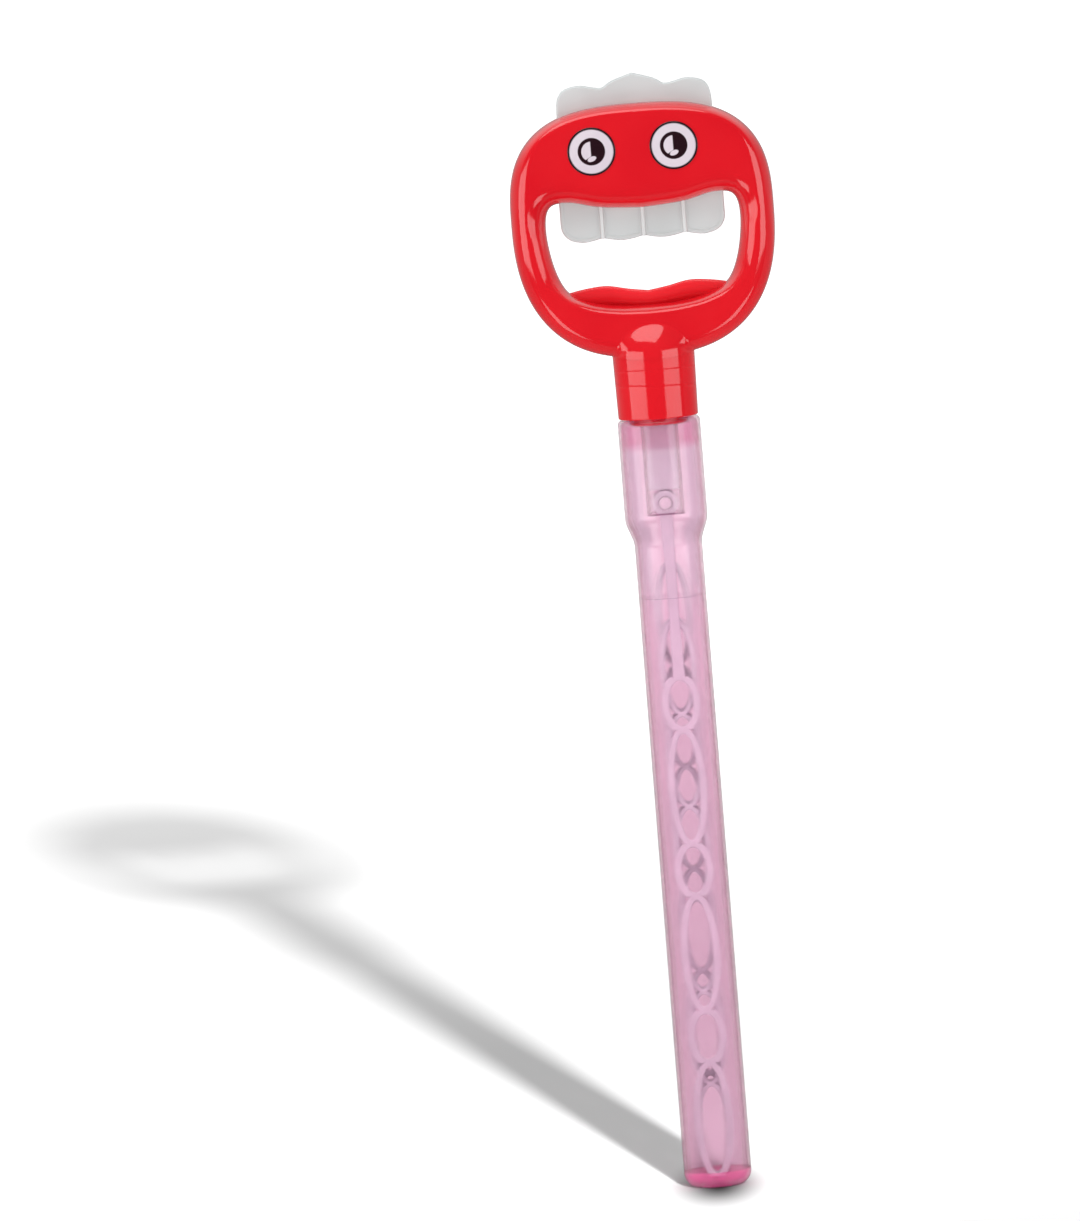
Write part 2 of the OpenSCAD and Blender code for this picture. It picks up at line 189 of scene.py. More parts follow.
def plastic(name, colour, shade, gloss=0.1, rub=0.06, grain=900, waves=45, depth=0.05, coat=0.0, **plain):
    """A moulded plastic. Colour and gloss vary with the skin, and the plain values sit on the shader."""
    material = bpy.data.materials.new(name)
    material.use_nodes = True
    tree = material.node_tree
    takes = {
        "Colour": linear(*colour), "Shade": linear(*shade), "Gloss": gloss, "Rub": rub, "Grain": grain,
        "Waves": waves
    }
    skin = add_node(tree, "Group", takes, node_tree=moulded_skin, name="Skin").outputs
    bump = add_node(tree, "Bump", {"Height": skin["Height"], "Strength": 1, "Distance": depth * mm})
    feed(tree, "Base Color", skin["Colour"])
    feed(tree, "Roughness", skin["Roughness"])
    feed(tree, "Normal", bump.outputs["Normal"])
    shader = tree.nodes["Principled BSDF"].inputs
    for key, value in {"Coat_Weight": coat, "Coat_Roughness": 0.09, **plain}.items():
        shader[key.replace("_", " ")].default_value = value
    return material


def fade(tree, low, high, below, above):
    """A colour that changes from below to above between two heights in millimetres."""
    height = parts_of(tree, place_on(tree))["Z"]
    return blended(tree, ramp(tree, height, low * mm, high * mm), below, above)


tube_r, bore_r, neck_r, neck_bore_r, mouth_r, mouth_wall = 11.6, 10.6, 14.2, 13.2, 10.5, 1.2
foot_z, tube_h, neck_z, mouth_z, rim_z = 5.6, 223.3, 230.2, 265.6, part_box("tube")[1].z / mm
tinted = plastic(
    "tinted_tube", (217, 166, 193), (213, 160, 188), gloss=0.16, rub=0.05, waves=60, depth=0.03, coat=0.7,
    Transmission_Weight=0.95, IOR=1.18, Coat_IOR=1.7, Alpha=0.52
)
tree = tinted.node_tree
# The wall looks more strongly pink where it is seen at a slant; a duller band inside that is
# painted shade for the dimmer look of the curved wall, darker above the solution.
# Below the cap the neck is painted a darker pink: painted red light thrown down from the red cap and plug.
facing = add_node(tree, "LayerWeight").outputs["Facing"]
# Painted shade: a range of slant where the wall is painted duller.
band = add_node(tree, "ValToRGB", {"Fac": facing})
stops = band.color_ramp.elements
band.color_ramp.interpolation = "EASE"
stops.remove(stops[1])
stops[0].color = (0, 0, 0, 1)
for slant, share in [(0.1, 0), (0.24, 1), (0.36, 1), (0.6, 0)]:
    stops.new(slant).color = (share, share, share, 1)
band_shade_tint = fade(tree, 196, 212, linear(214, 160, 188), linear(196, 154, 180))
wall_tint = blended(tree, band.outputs["Color"], tree.nodes["Skin"].outputs["Colour"], band_shade_tint)
# Painted red light: the neck's top is painted a darker pink under the red cap.
neck_red_light_tint = fade(tree, 254.5, 257, wall_tint, linear(194, 106, 146))
slanted = ramp(tree, facing, 0.3, 0.9)
feed(tree, "Base Color", blended(tree, slanted, neck_red_light_tint, linear(244, 140, 178)))

base_t, base_round, base_inner_round = 1.5, 5.0, 3.9
dent_r, dent_h, rest_r, crown_h = 4.4, 0.9, 5.4, 0.4
foot, spots = profile([
    (0, dent_h), (dent_r, dent_h), (rest_r, 0), (tube_r, 0), (tube_r, foot_z), (bore_r, foot_z),
    (bore_r, base_t), (0, base_t + crown_h)
])
round_corners(foot, [spots[3]], base_round, 7)
round_corners(foot, [spots[6]], base_inner_round, 7)
round_corners(foot, [spots[1], spots[2]], 0.5, 3)
turn(foot)
foot_pink = plastic(
    "tinted_foot", (255, 120, 186), (252, 112, 179), gloss=0.16, rub=0.05, waves=60, depth=0.03, coat=1.0,
    Transmission_Weight=0.5, IOR=1.18, Coat_IOR=1.7, Alpha=0.58
)
piece("tube_foot", foot, foot_pink, "bottle", ["tube"])

ridge_r = mouth_r + mouth_wall
wall, spots = profile([
    (tube_r, foot_z), (tube_r, tube_h), (neck_r, neck_z), (neck_r, mouth_z), (ridge_r, mouth_z),
    (ridge_r, rim_z), (mouth_r, rim_z), (mouth_r, mouth_z), (neck_bore_r, mouth_z - 1),
    (neck_bore_r, neck_z), (bore_r, tube_h), (bore_r, foot_z)
], closed=True)
shoulder_round, neck_round, mouth_round = 1.6, 1.5, 0.35
round_corners(wall, [spots[1], spots[2], spots[9], spots[10]], shoulder_round)
round_corners(wall, [spots[3], spots[8]], neck_round)
round_corners(wall, [spots[4], spots[5], spots[6]], mouth_round, 2)
turn(wall)
thread_turns, thread_pitch, thread_steps, thread_up = 2.25, 4.0, 36, 2.2
ridge_h, ridge_sunk, crown_hw, root_hw = 0.6, 0.1, 0.2, 0.6
ridge = bmesh.new()
corners = [
    (ridge_r - ridge_sunk, -root_hw), (ridge_r + ridge_h, -crown_hw), (ridge_r + ridge_h, crown_hw),
    (ridge_r - ridge_sunk, root_hw)
]
end = ridge.faces.new([ridge.verts.new((x * mm, 0, (mouth_z + thread_up + z) * mm)) for x, z in corners])
bmesh.ops.spin(
    ridge, geom=[end, *end.edges, *end.verts], cent=(0, 0, 0), axis=(0, 0, 1),
    dvec=(0, 0, thread_pitch / thread_steps * mm), angle=2 * math.pi * thread_turns,
    steps=int(thread_steps * thread_turns)
)
bmesh.ops.recalc_face_normals(ridge, faces=ridge.faces)
absorb(wall, ridge)
piece("tube_wall", wall, tinted, "bottle", ["tube"])

# Bubble solution: soapy water that fills the tube to below its shoulder. It wets the wall, creeps
# up it at the surface, and closes round the folded strands.
water = plastic(
    "solution", (252, 245, 249), (249, 241, 246), gloss=0.0, rub=0.02, grain=400, waves=30, depth=0.02,
    Transmission_Weight=1.0, IOR=1.04, Alpha=0.45
)
level_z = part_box("bubble_solution")[1].z / mm
water_r, water_z, creep_h, creep_w = bore_r - 0.03, base_t + 0.3, 0.2, 0.4
column, spots = profile([
    (0, water_z), (water_r, water_z), (water_r, level_z + creep_h), (bore_r - creep_w, level_z),
    (0, level_z)
])
round_corners(column, [spots[1]], base_round, 7)
turn(column)
piece("solution_column", column, water, "bottle", ["bubble_solution"])

# Strands: five flat chains of dipping rings, each moulded in one piece with a round head that
# turns on the pin. They lie folded on each other in the tube and fan out when the wand is drawn.
strand_white = plastic(
    "strand_plastic", (229, 226, 232), (220, 218, 224), gloss=0.34, rub=0.1, grain=1400, waves=120,
    depth=0.05, Transmission_Weight=0.05, IOR=1.05
)
pin_z, strand_l, strand_t, head_r, pin_r, pin_gap = 236.5, 233.0, 1.8, 4.4, 2.2, 0.05
rings, joint_spots = 6, (-1, -0.5, 0, 0.5, 1)


def oval_ring(mesh, width, length, wire, low, high, joint_hw):
    """A flat ring between two heights, with five shared points where it meets the next ring."""
    outer = bmesh.ops.create_circle(mesh, segments=40, radius=1)["verts"]
    inner = bmesh.ops.create_circle(mesh, segments=40, radius=1)["verts"]
    middle, reach = (low + high) / 2, (high - low) / 2
    for loop, half_w, half_l in [
        (outer, width / 2, reach + wire / 2), (inner, width / 2 - wire, reach - wire / 2)
    ]:
        for spot in loop:
            x, z = half_w * spot.co.x, middle + half_l * spot.co.y
            spot.co = (x * mm, 0, z * mm)
    order = sorted(outer, key=lambda v: v.co.z)
    for ends, z in [(order[:5], low), (order[-5:], high)]:
        for share, spot in zip(joint_spots, sorted(ends, key=lambda v: v.co.x)):
            spot.co = (share * joint_hw * mm, 0, z * mm)
    rim = [e for e in mesh.edges if e.verts[0] in outer + inner]
    bmesh.ops.bridge_loops(mesh, edges=rim)


def lay_down(mesh, verts):
    """Lays an upright form down, so that what rose along Z points to the front."""
    bmesh.ops.rotate(mesh, verts=verts, cent=(0, 0, 0), matrix=Matrix.Rotation(math.pi / 2, 3, "X"))


def verts_in(geometry):
    """The vertices in a mesh operator's result."""
    return [v for v in geometry if isinstance(v, bmesh.types.BMVert)]


def pull_row(mesh, run):
    """Pulls new edges out of a run of edges. Gives their vertices in the order of x, and the edges."""
    strip = bmesh.ops.extrude_edge_only(mesh, edges=run)["geom"]
    row = sorted(verts_in(strip), key=lambda v: v.co.x)
    edges = [e for e in strip if isinstance(e, bmesh.types.BMEdge)]
    return row, [e for e in edges if e.verts[0] in row and e.verts[1] in row]


def round_edges(mesh, edges, radius, segments=3, clamp=False):
    """Rounds edges of a mesh."""
    bmesh.ops.bevel(
        mesh, geom=list(edges), affect="EDGES", offset=radius * mm, segments=segments, profile=0.5,
        material=-1, clamp_overlap=clamp
    )


def thicken(mesh, depth, edge):
    """Gives a flat mesh in the XZ plane its depth about the middle, with rounded edges."""
    bmesh.ops.recalc_face_normals(mesh, faces=mesh.faces)
    bmesh.ops.translate(mesh, verts=mesh.verts, vec=(0, depth / 2 * mm, 0))
    back = bmesh.ops.extrude_face_region(mesh, geom=mesh.faces[:], use_keep_orig=True)["geom"]
    bmesh.ops.translate(mesh, verts=verts_in(back), vec=(0, -depth * mm, 0))
    bmesh.ops.recalc_face_normals(mesh, faces=mesh.faces)
    sharp = [e for e in mesh.edges if len(e.link_faces) == 2 and e.calc_face_angle() > math.radians(60)
             and abs(e.verts[0].co.y - e.verts[1].co.y) < 0.01 * mm]
    round_edges(mesh, sharp, edge, clamp=True)


# Each strand: its place in depth, its bar's length, its rings' width, their wire's width, and the
# share of a pair of rings that the first of the two takes.
for name, depth_y, bar_l, width, wire, first_share in [
    ("strand_1", 2, 21, 11.7, 1.9, 0.5), ("strand_2", -2, 41, 12.3, 1.9, 0.5),
    ("strand_3", -4, 60, 13.5, 2.6, 0.316), ("strand_4", 0, 40, 13.0, 2.1, 0.5),
    ("strand_5", 4, 21, 13.0, 2.1, 0.5)
]:
    strand = bmesh.new()
    joint_hw = 0.8 * wire
    pair = (strand_l - bar_l) / (rings / 2)
    top = -bar_l
    for k in range(rings):
        length = pair * (first_share if k % 2 == 0 else 1 - first_share)
        oval_ring(strand, width, length, wire, top - length, top, joint_hw)
        top -= length
    head = bmesh.ops.create_circle(strand, segments=24, radius=head_r * mm)["verts"]
    hole = bmesh.ops.create_circle(strand, segments=24, radius=(pin_r + pin_gap) * mm)["verts"]
    lay_down(strand, head + hole)
    bmesh.ops.bridge_loops(strand, edges=[e for e in strand.edges if e.verts[0] in head + hole])
    root = sorted(head, key=lambda v: v.co.z)[:5]
    run = [e for e in strand.edges if e.verts[0] in root and e.verts[1] in root]
    for height, half in [(-0.3 * bar_l, 1.9), (-0.65 * bar_l, 1.65), (-bar_l, joint_hw)]:
        row, run = pull_row(strand, run)
        for share, spot in zip(joint_spots, row):
            spot.co = (share * half * mm, 0, height * mm)
    bmesh.ops.remove_doubles(strand, verts=strand.verts, dist=0.01 * mm)
    thicken(strand, strand_t, 0.4)
    bmesh.ops.translate(strand, verts=strand.verts, vec=(0, depth_y * mm, pin_z * mm))
    piece(name + "_chain", strand, strand_white, name, [name])

# Pivot pin: a plain round pin of clear-white plastic across the stem, on which the heads turn.
# It is pressed into the sleeve's two cheeks, and its round ends just show on them.
pin_white = plastic(
    "milky_plastic", (252, 250, 252), (246, 244, 246), gloss=0.3, grain=1200, waves=200, depth=0.04,
    Transmission_Weight=0.2, IOR=1.0
)
sleeve_w = 12.8
pin_hl = sleeve_w / 2
pin, spots = profile([(0, -pin_hl), (pin_r, -pin_hl), (pin_r, pin_hl), (0, pin_hl)])
round_corners(pin, [spots[1], spots[2]], 0.5, 3)
turn(pin, 48)
lay_down(pin, pin.verts)
bmesh.ops.translate(pin, verts=pin.verts, vec=(0, 0, pin_z * mm))
piece("pivot_pin_rod", pin, pin_white, "wand", ["pivot_pin"])

# Stem: a milky block inside a square sleeve of clear plastic, glued into the plug. The sleeve's
# cheeks reach below the block and carry the pin. Its corners and its cut lower end are painted
# darker: painted shade for how the clear wall dims at its corners and its cut end.
clear = plastic(
    "clear_plastic", (250, 250, 250), (245, 247, 246), gloss=0.05, rub=0.05, grain=1200, waves=90,
    depth=0.03, Transmission_Weight=0.95, IOR=1.45, Alpha=0.75
)
sleeve_low, sleeve_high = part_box("stem_sleeve")
cut_z = sleeve_low.z / mm
tree = clear.node_tree
corner_from, corner_full, cut_from, cut_full = 5.2, 5.5, 0.9, 0.3
from_axis = add_node(tree, "VectorMath", {0: place_on(tree)}, operation="ABSOLUTE").outputs["Vector"]
sides = parts_of(tree, from_axis)
nearer = maths(tree, "MINIMUM", sides["X"], sides["Y"])
# Painted shade: the sleeve's corners, and below them its cut lower end, are painted darker.
corner = ramp(tree, nearer, corner_from * mm, corner_full * mm, smooth=False)
corners_shaded = blended(tree, corner, tree.nodes["Skin"].outputs["Colour"], linear(172, 172, 162))
feed(tree, "Base Color", fade(tree, cut_z + cut_full, cut_z + cut_from, linear(150, 104, 132), corners_shaded))


def square_bar(mesh, half, low, high, edge):
    """An upright square bar with rounded edges, between two heights in metres."""
    bar = bmesh.ops.create_cube(mesh, size=1)["verts"]
    bmesh.ops.scale(mesh, verts=bar, vec=(2 * half * mm, 2 * half * mm, high - low))
    bmesh.ops.translate(mesh, verts=bar, vec=(0, 0, (low + high) / 2))
    round_edges(mesh, {e for v in bar for e in v.link_edges}, edge)


def square_tube(mesh, half, wall, low, high, edge):
    """An upright square tube with rounded edges, between two heights in metres."""
    loops = []
    for size in (half, half - wall):
        loop = bmesh.ops.create_circle(mesh, segments=4, radius=size * math.sqrt(2) * mm)["verts"]
        bmesh.ops.rotate(mesh, verts=loop, cent=(0, 0, 0), matrix=Matrix.Rotation(math.pi / 4, 3, "Z"))
        bmesh.ops.translate(mesh, verts=loop, vec=(0, 0, low))
        loops += loop
    flat = bmesh.ops.bridge_loops(mesh, edges=[e for e in mesh.edges if e.verts[0] in loops])["faces"]
    top = bmesh.ops.extrude_face_region(mesh, geom=flat, use_keep_orig=True)["geom"]
    bmesh.ops.translate(mesh, verts=verts_in(top), vec=(0, 0, high - low))
    bmesh.ops.recalc_face_normals(mesh, faces=mesh.faces)
    round_edges(mesh, [e for e in mesh.edges if abs(e.verts[0].co.z - e.verts[1].co.z) > 1 * mm], edge, 4)
    round_edges(mesh, [e for e in mesh.edges if e.calc_face_angle(0) > math.radians(60)], 0.2, 2)


sleeve = bmesh.new()
sleeve_wall, pin_proud = 1.1, 0.02
square_tube(sleeve, sleeve_w / 2 - pin_proud, sleeve_wall, sleeve_low.z, sleeve_high.z, 0.9)
piece("stem_sleeve_tube", sleeve, clear, "wand", ["stem_sleeve"])

milky = plastic(
    "milky_core", (241, 241, 245), (234, 234, 240), gloss=0.4, grain=1000, waves=80, depth=0.05,
    Transmission_Weight=0.3, IOR=1.0, Alpha=0.9
)
core_low, core_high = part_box("stem_core")
core = bmesh.new()
square_bar(core, core_high.x / mm, core_low.z, core_high.z, 0.5)
piece("stem_core_block", core, milky, "wand", ["stem_core"])

# Plug: moulded in the handle's red, it hangs in the mouth and carries the stem. Its flange is
# glued into the cap above the seal, a soft ring punched from white foam.
red = plastic(
    "red_plastic", (224, 25, 36), (217, 20, 33), gloss=0.1, rub=0.05, grain=700, waves=34, depth=0.07,
    coat=0.5, IOR=1.5
)
plug_low, plug_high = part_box("stem_plug")
plug_z, flange_top = plug_low.z / mm, plug_high.z / mm
plug_r, flange_r, flange_z = 10.2, plug_high.x / mm, flange_top - 1.8
plug, spots = profile([
    (0, plug_z), (plug_r, plug_z), (plug_r, flange_z), (flange_r, flange_z), (flange_r, flange_top),
    (0, flange_top)
])
round_corners(plug, [spots[1]], 0.9)
round_corners(plug, [spots[3], spots[4]], 0.4, 3)
turn(plug)
piece("stem_plug_body", plug, red, "wand", ["stem_plug"])

foam = plastic(
    "seal_foam", (240, 240, 236), (224, 224, 220), gloss=0.75, rub=0.1, grain=2600, waves=500, depth=0.12
)
tree = foam.node_tree
cell_scale, cell_depth = 1800, 0.15
cells = add_node(tree, "TexVoronoi", {"Vector": place_on(tree), "Scale": cell_scale}).outputs["Distance"]
cell_bump = add_node(tree, "Bump", {"Height": cells, "Distance": cell_depth * mm})
feed(tree, "Normal", cell_bump.outputs["Normal"])
seal_low, seal_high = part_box("seal_washer")
seal_z, seal_top, seal_r, seal_bore_r = seal_low.z / mm, seal_high.z / mm, seal_high.x / mm, plug_r + 0.1
seal, spots = profile([
    (seal_bore_r, seal_z), (seal_r, seal_z), (seal_r, seal_top), (seal_bore_r, seal_top)
], closed=True)
round_corners(seal, spots, 0.35, 3)
turn(seal)
piece("seal_ring", seal, foam, "seal", ["seal_washer"])

# Screw cap: glossy red, its domed head gripped between the handle's halves. The flange and the
# thread inside show through its skin as faint sink marks.
cap_red = red.copy()
cap_red.name = "red_cap"
tree = cap_red.node_tree
tree.nodes["Principled BSDF"].inputs["Coat Weight"].default_value = 0.2


def dip(tree, value, middle, half, deep):
    """A smooth dip round a place in millimetres."""
    away = maths(tree, "ABSOLUTE", maths(tree, "SUBTRACT", value, middle * mm))
    return ramp(tree, away, 0, half * mm, -deep, 0)


at = parts_of(tree, place_on(tree))
turned_by = maths(tree, "ARCTAN2", at["Y"], at["X"])
coil = maths(tree, "MULTIPLY_ADD", turned_by, thread_pitch * mm / (2 * math.pi), at["Z"])
flange_mark_z, thread_mark_z, mark_depth = 282.8, 276.2, 0.05
marks = maths(
    tree, "ADD", dip(tree, at["Z"], flange_mark_z, 0.55, 1.0), dip(tree, coil, thread_mark_z, 0.8, 0.8)
)
skin_bump = next(n for n in tree.nodes if n.type == "BUMP").outputs["Normal"]
sink = add_node(tree, "Bump", {"Height": marks, "Distance": mark_depth * mm, "Normal": skin_bump})
feed(tree, "Normal", sink.outputs["Normal"])

cap_z, skirt_z, cap_r, skirt_r, dome_round, inner_round = 266.0, 287.8, 13.7, 14.1, 11.5, 10.0
flat_r = skirt_r - dome_round
inner_r, inner_top, pole_gap = flat_r + inner_round, skirt_z + inner_round, 0.01
cap, spots = profile([
    (0, inner_top), (inner_r, inner_top), (inner_r, cap_z), (cap_r, cap_z), (skirt_r, skirt_z),
    (skirt_r, skirt_z + dome_round), (0, skirt_z + dome_round)
])
round_corners(cap, [spots[1]], inner_round - pole_gap, 12)
round_corners(cap, [spots[5]], dome_round - pole_gap, 16)
round_corners(cap, [spots[2], spots[3]], 0.45, 3)
turn(cap, 128)
piece("screw_cap_shell", cap, cap_red, "wand", ["screw_cap"])

# Handle: two glossy red shells that meet in the middle plane, held together by posts and pegs.
# Each is a ring with a broad face above the grip, and swells over the cap's domed head.
half_w, half_d, handle_z, mid_z, top_z = 45.1, 9.0, 286.8, 335.8, 374.1
grip_hw, grip_z, grip_h = 33.3, 304.8, 33.2
# The grip's half outline, as shares of its half width and height, and the share of the way round
# the outer outline that each of its points faces.
grip_shares = [
    (0, 1, 0), (0.42, 1.032, 0.07), (0.75, 1.105, 0.165), (0.95, 1.064, 0.36), (1, 0.828, 0.5),
    (0.945, 0.455, 0.59), (0.82, 0.187, 0.69), (0.6, 0.072, 0.79), (0.3, 0.015, 0.91), (0, 0, 1)
]


def along(points, share):
    """A place on a smooth curve through points, from 0 at the first to 1 at the last."""
    u = share * (len(points) - 1)
    i = min(int(u), len(points) - 2)
    t = u - i
    a, b, c, d = (points[min(max(j, 0), len(points) - 1)] for j in range(i - 1, i + 3))
    return [
        q + (r - p) * t / 2 + (p - 2.5 * q + 2 * r - s / 2) * t * t + (3 * (q - r) + s - p) / 2 * t ** 3
        for p, q, r, s in zip(a, b, c, d)
    ]


def outer_edge(turned):
    """The handle's outer outline at a turn in radians from its top."""
    bend, rise = (2.8, top_z - mid_z) if math.cos(turned) > 0 else (2.5, mid_z - handle_z)
    x, z = (math.copysign(abs(c) ** (2 / bend), c) for c in (math.sin(turned), math.cos(turned)))
    return half_w * x, mid_z + rise * z


def over_dome(x, z):
    """How far the cap's skirt and domed head stand out in front at a place on the handle."""
    up = max(z - skirt_z, 0)
    beyond = math.hypot(max(abs(x) - flat_r, 0), up) - dome_round
    if beyond > 0:
        return -beyond
    reach = flat_r + math.sqrt(dome_round ** 2 - up ** 2)
    return math.sqrt(max(reach ** 2 - x ** 2, 0))


stations = 320  # points on each outline


def outline_spot(turned_to, on_grip):
    """A place on the handle's outer outline or on the grip's, at a turn in radians from the top."""
    side, share = math.copysign(1, turned_to), min(abs(turned_to) / math.pi, 1)
    x, z, edge_share = along(grip_shares, share)
    if on_grip:
        return Vector((side * x * grip_hw, 0, grip_z + z * grip_h))
    x, z = outer_edge(side * math.pi * edge_share)
    return Vector((x, 0, z))


def outline_finder(on_grip):
    """A search tree of close points on one of the two outlines."""
    count = stations * 6
    tree = kdtree.KDTree(count)
    for k in range(count):
        tree.insert(outline_spot(math.pi * (2 * k / count - 1), on_grip), k)
    tree.balance()
    return tree


outer_finder, grip_finder = outline_finder(False), outline_finder(True)
side_round, side_round_loss = 5.9, 3.0
grip_edge_round, grip_edge_gain, rim_gain, rim_share = 3.1, 2.8, 9, 0.12


def smooth_step(low, high, value):
    """0 below low, 1 above high, and smooth between them."""
    t = min(max((value - low) / (high - low), 0), 1)
    return t * t * (3 - 2 * t)


def shell_depth(x, z):
    """How far a shell stands out in front: rounded from both outlines, with a soft rim on the face."""
    spot = Vector((x, 0, z))
    tight = side_round - side_round_loss * smooth_step(mid_z + 12, mid_z + 30, z)
    from_edge = min(outer_finder.find(spot)[2] / tight, 1)
    rim = rim_share * smooth_step(grip_z + 24, grip_z + 31, z)
    grip_round = grip_edge_round + grip_edge_gain * smooth_step(grip_z + 3, grip_z + 12, z)
    grip_round += rim * rim_gain
    from_grip = min(grip_finder.find(spot)[2] / grip_round, 1)
    own = math.sqrt(1 - (1 - from_edge) ** 2)
    grip = (1 - rim) * math.sqrt(1 - (1 - from_grip) ** 2) + rim * from_grip
    return half_d * min(own, grip)


shell = bmesh.new()
outer = bmesh.ops.create_circle(shell, segments=stations, radius=2)["verts"]
inner = bmesh.ops.create_circle(shell, segments=stations, radius=1)["verts"]
for loop in (outer, inner):
    for spot in loop:
        spot.co = outline_spot(math.atan2(spot.co.x, spot.co.y), loop is inner) * mm
ring_faces = bmesh.ops.bridge_loops(shell, edges=shell.edges[:])["faces"]
bmesh.ops.recalc_face_normals(shell, faces=ring_faces)
if ring_faces[0].normal.y > 0:
    bmesh.ops.reverse_faces(shell, faces=ring_faces)
# Rows of faces that lie closer together near the two outlines, where a shell curves most.
round_in, round_steps, inset = 5.6, 12, 0.0
for step in range(1, round_steps + 1):
    share = 1 - math.cos(math.pi / 2 * step / round_steps)
    bmesh.ops.inset_region(
        shell, faces=ring_faces, thickness=(share * round_in - inset) * mm, use_even_offset=True,
        use_boundary=True
    )
    inset = share * round_in
spokes = [
    e for e in shell.edges if e.calc_length() > 3 * mm and all(f in ring_faces for f in e.link_faces)
]
bmesh.ops.subdivide_edges(shell, edges=spokes, cuts=7, use_grid_fill=True)
# Finer faces where the shell swells over the cap, and a soft run from one form into the other.
dome_hw, dome_top = 21, 305
near_dome = [
    e for e in shell.edges if all(abs(v.co.x) < dome_hw * mm and v.co.z < dome_top * mm for v in e.verts)
]
bmesh.ops.subdivide_edges(shell, edges=near_dome, cuts=1, use_grid_fill=True)
blend_reach, cap_gap, half_seam = 3.0, 0.12, 0.06
for spot in shell.verts:
    own = shell_depth(spot.co.x / mm, spot.co.z / mm)
    dome = over_dome(spot.co.x / mm, spot.co.z / mm) + cap_gap
    h = max(blend_reach - abs(own - dome), 0) / blend_reach
    spot.co.y = -(max(own, dome) + h * h * blend_reach / 4 * min(own, 1)) * mm
bmesh.ops.translate(shell, verts=shell.verts, vec=(0, -half_seam * mm, 0))
post_r, peg_r, peg_reach, post_gap, shell_t = 2.8, 1.4, 3, 0.4, 1.8
post_shares = [(0, 0.79), (-0.815, 0.74), (0.815, 0.74), (-0.575, 0.135), (0.575, 0.135)]


def add_posts(mesh, radius, low, high=None):
    """Round posts along Y from one depth to another, or from the first to just under a shell's skin."""
    for share_x, share_z in post_shares:
        x, z = share_x * half_w, handle_z + share_z * (top_z - handle_z)
        skin = min(shell_depth(x + a, z + b) for a in (-radius, radius) for b in (-radius, radius))
        far = high if high is not None else math.copysign(skin - post_gap, low)
        post = bmesh.ops.create_cone(
            mesh, cap_ends=True, segments=24, radius1=radius * mm, radius2=radius * mm,
            depth=abs(far - low) * mm
        )["verts"]
        lay_down(mesh, post)
        bmesh.ops.translate(mesh, verts=post, vec=(x * mm, (low + far) / 2 * mm, z * mm))


back_shell = shell.copy()
bmesh.ops.scale(back_shell, verts=back_shell.verts, vec=(1, -1, 1))
bmesh.ops.reverse_faces(back_shell, faces=back_shell.faces)
for mesh, side, name in [(shell, -1, "handle_front"), (back_shell, 1, "handle_back")]:
    made = piece(name + "_shell", mesh, red, "wand", [name], even=False)
    wall_mod = made.modifiers.new("wall", "SOLIDIFY")
    wall_mod.thickness = shell_t * mm
    wall_mod.offset = -1
    posts = bmesh.new()
    add_posts(posts, post_r, side * 0.1)
    if side < 0:
        add_posts(posts, peg_r, -1, peg_reach)
    piece(name + "_posts", posts, red, "wand", [])

# Teeth: one white plate between the shells. Its scalloped crest stands on the handle, and four
# teeth with raised rims hang into the grip, with a rib on each joint.
tooth_white = plastic(
    "white_plastic", (208, 212, 212), (201, 205, 205), gloss=0.36, rub=0.08, grain=1100, waves=60,
    depth=0.05
)
plate_t, tooth_w, tooth_h, tooth_round, grip_top = 3.0, 14.1, 9.4, 6.0, 338.0
crest_hw, crest_rise, crest_down, tooth_up = 26.7, 10.3, 12, 8
crest_shares = [
    (1, -0.6), (0.995, 0.1), (0.95, 0.45), (0.86, 0.63), (0.68, 0.7), (0.53, 0.62), (0.4, 0.58),
    (0.27, 0.78), (0, 1)
]


def both_halves(half):
    """A whole outline from its half on the +X side."""
    return half + [(-x, z) for x, z in reversed(half) if x > 0.01]


def plate(points, edge, rim=0.0, sunk=0.0):
    """An upright plate with rounded edges, and with its two faces sunk inside a narrow rim."""
    mesh = bmesh.new()
    mesh.faces.new([mesh.verts.new((x * mm, 0, z * mm)) for x, z in points])
    thicken(mesh, plate_t, edge)
    if rim:
        for f in [f for f in mesh.faces if abs(f.normal.y) > 0.99 and f.calc_area() > 20 * mm * mm]:
            bmesh.ops.inset_region(mesh, faces=[f], thickness=rim * mm, use_even_offset=True)
            bmesh.ops.inset_region(
                mesh, faces=[f], thickness=0.3 * mm, depth=-sunk * mm, use_even_offset=True
            )
    return mesh


